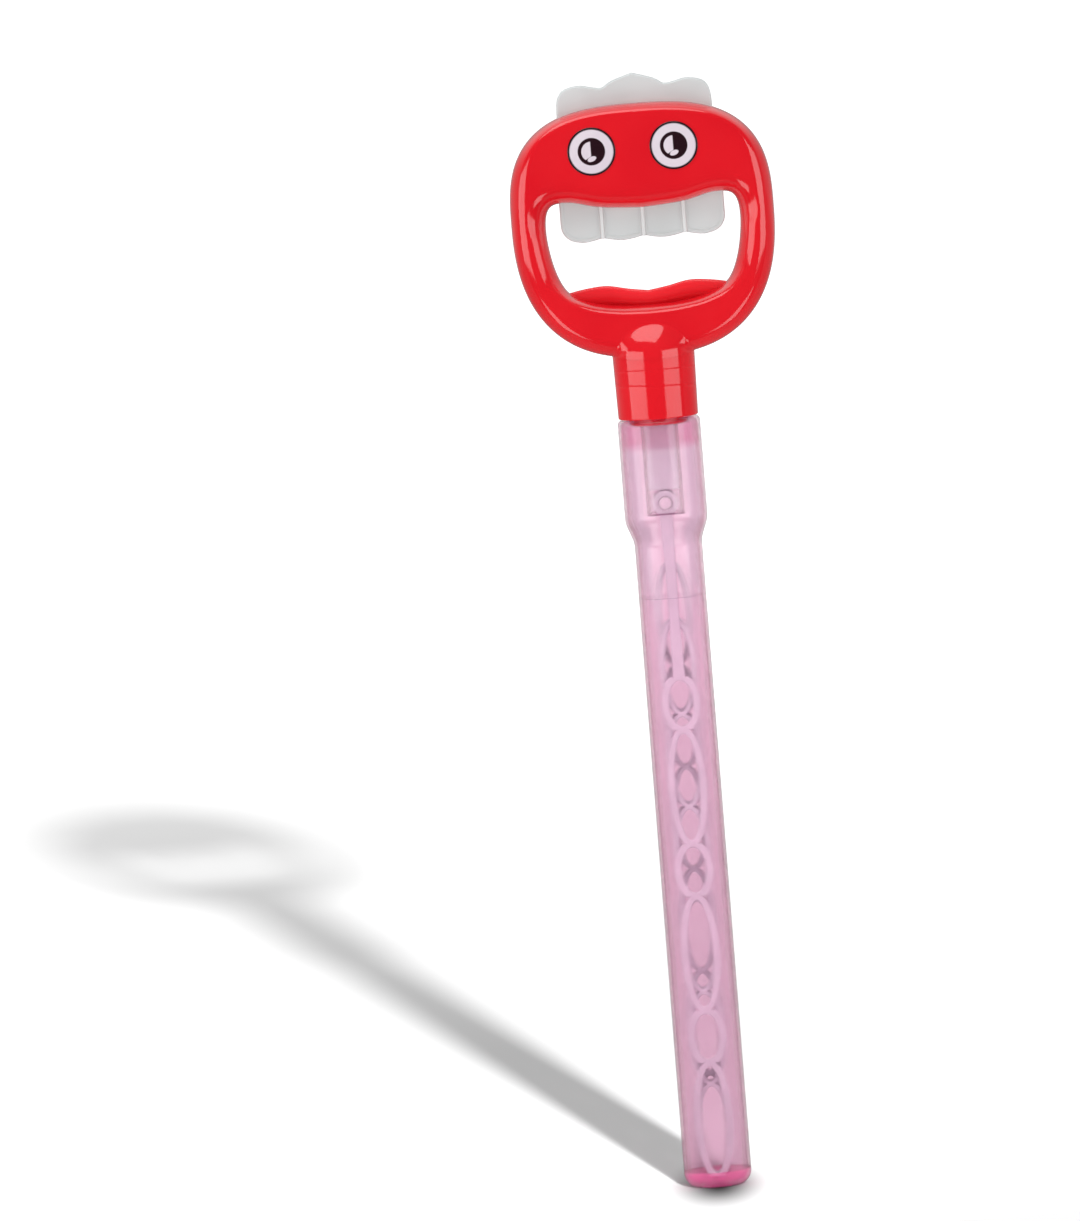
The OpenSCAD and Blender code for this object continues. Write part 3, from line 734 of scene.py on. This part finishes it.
crest_steps, tooth_steps, arc_steps = 32, 8, 8
crest = [along(crest_shares, 1 - k / crest_steps) for k in range(crest_steps + 1)]
crest = [(x * crest_hw, top_z + z * crest_rise) for x, z in crest]
crest += [(crest_hw, grip_top + crest_down), (0, grip_top + crest_down)]
crest_plate = plate(both_halves(crest), 0.7)
piece("crest_plate", crest_plate, tooth_white, "wand", ["teeth_plate"])
bow = tooth_h / 8
low_z = grip_top - tooth_h
teeth = bmesh.new()
for k in (-1.5, -0.5, 0.5, 1.5):
    one = []
    for j in range(tooth_steps + 1):
        share = j / tooth_steps
        x, z = (share - 0.5) * tooth_w, low_z - bow * math.sin(math.pi * share)
        one.append((k * tooth_w + x, z))
    if abs(k) > 1:
        far = math.copysign(2 * tooth_w - tooth_round, k)
        kept = [p for p in one if abs(p[0]) < abs(far)]
        turn_z = low_z - bow * 0.7 + tooth_round
        arc = [
            (far + math.copysign(math.sin(a) * tooth_round, k), turn_z - math.cos(a) * tooth_round)
            for a in (math.pi / 2 * i / arc_steps for i in range(1, arc_steps + 1))
        ]
        one = kept + arc if k > 0 else list(reversed(arc)) + kept
    one += [(one[-1][0], grip_top + tooth_up), (one[0][0], grip_top + tooth_up)]
    absorb(teeth, plate(one, 0.45, 0.7, 0.35))
piece("teeth_row", teeth, tooth_white, "wand", ["teeth_plate"])
# Painted light: the ribs are the teeth's white plastic painted lighter, where their fronts catch more
# light.
rib_white_painted_lit = plastic(
    "white_ribs_painted_light", (222, 226, 226), (216, 220, 220), gloss=0.3, rub=0.08, grain=1100, waves=60, depth=0.05
)
rib_w, rib_proud, rib_extra = 1.2, 0.7, 3
rib_z = grip_top - tooth_h / 2 + 1.3
ribs = bmesh.new()
for k in (-1, 0, 1):
    rib = bmesh.ops.create_cube(ribs, size=1)["verts"]
    bmesh.ops.scale(
        ribs, verts=rib, vec=(rib_w * mm, (plate_t + 2 * rib_proud) * mm, (tooth_h + rib_extra) * mm)
    )
    bmesh.ops.translate(ribs, verts=rib, vec=(k * tooth_w * mm, 0, rib_z * mm))
    round_edges(ribs, {e for v in rib for e in v.link_edges}, 0.35)
piece("teeth_ribs", ribs, rib_white_painted_lit, "wand", ["teeth_plate"])

# Lip: a thin red plate between the shells at the bottom of the grip, with two soft bumps. Its
# upper edge is thinned and rounded over.
# Painted light: the lip is the handle's red plastic painted lighter, where it sits in the grip's shade.
lip_red_painted_light = plastic(
    "red_lip_painted_light", (244, 36, 47), (238, 31, 42), gloss=0.24, rub=0.05, grain=700, waves=34, depth=0.07,
    coat=0.2, IOR=1.5
)
lip_t, lip_h, lip_sunk = 2.4, 7.3, 1.4
lip_shares = [(0.9, 0.6), (0.825, 0.78), (0.63, 0.945), (0.42, 1), (0.2, 0.8), (0, 0.66)]
lip_steps = 30
half_lip = [along(lip_shares, k / lip_steps) for k in range(lip_steps + 1)]
lip = both_halves([(x * grip_hw, grip_z + z * lip_h) for x, z in half_lip])
lip_plate = bmesh.new()
for side in (-1, 1):
    row = [lip_plate.verts.new((x * mm, 0, z * mm)) for x, z in lip]
    run = [lip_plate.edges.new(pair) for pair in zip(row, row[1:])]
    for down, out in [(0.1, 0.45), (0.45, 0.72), (1.5, 1.12), (2.4, lip_t / 2), (None, lip_t / 2)]:
        row, run = pull_row(lip_plate, run)
        for spot, (_, top) in zip(row, reversed(lip)):
            spot.co.y = side * out * mm
            spot.co.z = (grip_z - lip_sunk if down is None else top - down) * mm
bmesh.ops.remove_doubles(lip_plate, verts=lip_plate.verts, dist=0.01 * mm)
bmesh.ops.holes_fill(lip_plate, edges=[e for e in lip_plate.edges if e.is_boundary])
bmesh.ops.recalc_face_normals(lip_plate, faces=lip_plate.faces)
piece("lip_wave", lip_plate, lip_red_painted_light, "wand", ["lip_plate"])

# Eyes: thin, slightly domed discs with a printed eye, glued on the face. The print is a dark
# outline, a pale ring, and a black pupil with two reflections.
eye_r, eye_t, eye_edge_t = 8.25, 0.4, 0.28
ring_r, pupil_r, gleam_r, gleam_side = 7.5, 4.72, 3.45, -0.2
slant_z, slant_turn, spot_z, spot_turn, spot_size = -1.45, 0.53, -2.55, 0.35, (1.55, 0.85)


def printed_eye(name, x, z):
    """The material of an eye about its middle."""
    material = plastic(
        name, (224, 212, 221), (218, 206, 216), gloss=0.12, rub=0.04, grain=900, depth=0.02, coat=0.5
    )
    tree = material.node_tree
    place = place_on(tree)

    def inside(distance, radius, soft=0.12):
        """1 inside a soft edge, and 0 outside it."""
        return ramp(tree, distance, radius - soft, radius + soft, 1, 0, smooth=False)

    def centred(at_x, at_z, turned_by=0.0, stretch=(1, 1)):
        """A place on the print, in millimetres in a turned and stretched frame."""
        return add_node(tree, "Mapping", {
            "Vector": place, "Location": ((x + at_x) * mm, 0, (z + at_z) * mm),
            "Rotation": (0, -turned_by, 0), "Scale": (stretch[0] * mm, 1000, stretch[1] * mm)
        }, vector_type="TEXTURE").outputs["Vector"]

    def length(vector):
        """A vector's length."""
        return add_node(tree, "VectorMath", {0: vector}, operation="LENGTH").outputs["Value"]

    middle = centred(0, 0)
    from_middle, right = length(middle), parts_of(tree, middle)["X"]
    above_slant = parts_of(tree, centred(0, slant_z, slant_turn))["Z"]
    from_spot = length(centred(0, spot_z, spot_turn, spot_size))
    gleam = maths(tree, "MULTIPLY", inside(from_middle, gleam_r), inside(right, gleam_side))
    gleam = maths(tree, "MULTIPLY", gleam, maths(tree, "SUBTRACT", 1.0, inside(above_slant, 0)))
    gleam = maths(tree, "MAXIMUM", gleam, inside(from_spot, 1, 0.1))
    outline = maths(tree, "SUBTRACT", 1.0, inside(from_middle, ring_r, 0.2))
    pupil = maths(tree, "SUBTRACT", inside(from_middle, pupil_r), gleam)
    dark = maths(tree, "MAXIMUM", outline, pupil)
    pale = tree.nodes["Skin"].outputs["Colour"]
    feed(tree, "Base Color", blended(tree, dark, pale, linear(38, 16, 24)))
    return material


for name in ("eye_left", "eye_right"):
    low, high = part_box(name)
    eye_x, eye_z = (low.x + high.x) / 2 / mm, (low.z + high.z) / 2 / mm
    disc, spots = profile([(0, 0), (eye_r, 0), (eye_r, eye_edge_t), (0, eye_t)])
    round_corners(disc, [spots[2]], 0.2, 3)
    turn(disc)
    lay_down(disc, disc.verts)
    bmesh.ops.translate(disc, verts=disc.verts, vec=(eye_x * mm, high.y, eye_z * mm))
    piece(name + "_disc", disc, printed_eye(name + "_print", eye_x, eye_z), "wand", [name])

# Studio: a white floor with a low lamp of its own for the toy's long shadow and a soft shadow
# painted under its base, a white surround that is dim in front, five soft boxes, and a camera.
floor_half, floor_front = 8, -0.15
floor_mesh = bmesh.new()
bmesh.ops.create_grid(floor_mesh, x_segments=1, y_segments=1, size=floor_half)
bmesh.ops.translate(floor_mesh, verts=floor_mesh.verts, vec=(0, floor_front + floor_half, 0))
floor_data = bpy.data.meshes.new("floor")
floor_mesh.to_mesh(floor_data)
floor_mesh.free()
floor = bpy.data.objects.new("floor", floor_data)
bpy.context.scene.collection.objects.link(floor)


def looks_past(tree):
    """The ray's kinds, and a mask that is 1 for what the camera sees, also through something clear."""
    rays = add_node(tree, "LightPath").outputs
    return rays, maths(tree, "MAXIMUM", rays["Is Camera Ray"], rays["Is Transmission Ray"])


white_floor = bpy.data.materials.new("floor")
white_floor.use_nodes = True
tree = white_floor.node_tree
matt = tree.nodes["Principled BSDF"].inputs
matt["Roughness"].default_value = 0.9
matt["Specular IOR Level"].default_value = 0.0
matt["Emission Color"].default_value = (1, 1, 1, 1)
rays, seen = looks_past(tree)
mirrored = maths(tree, "SUBTRACT", rays["Is Glossy Ray"], seen)
mirrored.node.use_clamp = True
# Painted shade: in reflections the white floor is painted nearly black.
paper = blended(tree, mirrored, (0.9, 0.9, 0.9, 1), (0.14, 0.14, 0.14, 1))
# Painted shadow: the floor's colour darkens towards black close round the toy's base.
shade_reach, shade_flat, shade_core = 21 * mm, (1, 0.25, 0), 0.02
flat = add_node(tree, "VectorMath", {0: place_on(tree), 1: shade_flat}, operation="MULTIPLY")
from_base = add_node(tree, "VectorMath", {0: flat.outputs["Vector"]}, operation="LENGTH").outputs["Value"]
painted_base_shade = ramp(tree, from_base, 0, shade_reach, shade_core)
feed(tree, "Base Color", blended(tree, painted_base_shade, (0, 0, 0, 1), paper))
# Painted light: seen by the camera, the floor glows more the further it lies behind the toy, which keeps
# the far floor white and pales the long shadow as it runs away; reflections take a part of this glow.
far = ramp(tree, parts_of(tree, place_on(tree))["Y"], 0.45, 2.8, 0, 0.65, smooth=False)
painted_glow_seen = maths(tree, "MULTIPLY_ADD", mirrored, 0.4, seen)
feed(tree, "Emission Strength", maths(tree, "MULTIPLY", painted_glow_seen, far))
floor_data.materials.append(white_floor)

world = bpy.data.worlds.new("studio")
bpy.context.scene.world = world
world.use_nodes = True
tree = world.node_tree
background = tree.nodes["Background"].inputs
background["Color"].default_value = (1, 1, 1, 1)
rays, seen = looks_past(tree)
towards = parts_of(tree, add_node(tree, "TexCoord").outputs["Generated"])
behind, above = ramp(tree, towards["Y"], -0.3, 0.2, 0.08), ramp(tree, towards["Z"], 0.1, 0.7, 0.35)
around = maths(tree, "MULTIPLY", behind, above)
glossy = add_node(tree, "Mix", {"Factor": rays["Is Glossy Ray"], "A": 0.5, "B": around}).outputs["Result"]
strength = add_node(tree, "Mix", {"Factor": seen, "A": glossy, "B": 1}).outputs["Result"]
tree.links.new(strength, background["Strength"])


def object_group(name, *objects):
    """A collection of objects for the lights to leave out or to keep to."""
    made = bpy.data.collections.new(name)
    for linked in objects:
        made.objects.link(linked)
    return made


floor_only, all_but_floor = object_group("floor_only", floor), object_group("all_but_floor", floor)
see_through = object_group("see_through", *(
    bpy.data.objects[name] for name in ("tube_foot", "tube_wall", "solution_column", "stem_sleeve_tube")
))
for left_out in (all_but_floor, see_through):
    for linked in left_out.collection_objects:
        linked.light_linking.link_state = "EXCLUDE"


def soft_box(name, azimuth, elevation, distance, width, height, brightness, aim_z):
    """A rectangular soft box that faces the toy. Brightness 1 is as bright as white paper."""
    light = bpy.data.lights.new(name, "AREA")
    light.shape = "RECTANGLE"
    light.size, light.size_y = width, height
    light.energy = brightness * math.pi * width * height
    box = bpy.data.objects.new(name, light)
    bpy.context.scene.collection.objects.link(box)
    box.light_linking.receiver_collection = all_but_floor
    box.light_linking.blocker_collection = see_through
    box.visible_camera = box.visible_transmission = False
    a, e = math.radians(azimuth), math.radians(elevation)
    away = Vector((math.sin(a) * math.cos(e), -math.cos(a) * math.cos(e), math.sin(e)))
    box.location = Vector((0, 0, aim_z)) + away * distance
    box.rotation_euler = (-away).to_track_quat("-Z", "Y").to_euler()


soft_box("left_soft_box", -56, 0, 1.0, 1.0, 0.41, 2.3, 0.315)
soft_box("right_soft_box", 48, 0, 1.0, 0.89, 0.41, 2.3, 0.315)
soft_box("low_left_soft_box", -42, -35, 1.0, 0.45, 0.4, 2.3, 0.32)
soft_box("low_right_soft_box", 36, -35, 1.0, 0.4, 0.4, 2.3, 0.32)
soft_box("top_soft_box", -25, 68, 1.2, 1.2, 0.9, 2.5, 0.3)

low_lamp = bpy.data.lights.new("low_lamp", "POINT")
low_lamp.shadow_soft_size = 0.11
low_lamp.energy = 5400
lamp = bpy.data.objects.new("low_lamp", low_lamp)
bpy.context.scene.collection.objects.link(lamp)
lamp.light_linking.receiver_collection = floor_only
lamp.location = (1.02, -6.58, 2.04)

camera = bpy.data.cameras.new("camera")
distance, elevation, lean = 6.0, math.radians(5), math.radians(4.54)
view_w, middle_of_view = 0.4188, Vector((-0.0457, 0, 0.2027))
camera.sensor_width = 36
camera.lens = camera.sensor_width * distance / view_w
view_from = bpy.data.objects.new("camera", camera)
bpy.context.scene.collection.objects.link(view_from)
back = Vector((0, -math.cos(elevation), math.sin(elevation)))
view_from.location = middle_of_view + back * distance
turned = (-back).to_track_quat("-Z", "Y").to_matrix() @ Matrix.Rotation(-lean, 3, "Z")
view_from.rotation_euler = turned.to_euler()
scene = bpy.context.scene
scene.camera = view_from
scene.view_settings.view_transform = "Standard"
scene.cycles.max_bounces = 32
scene.cycles.transmission_bounces = 32
scene.cycles.transparent_max_bounces = 64
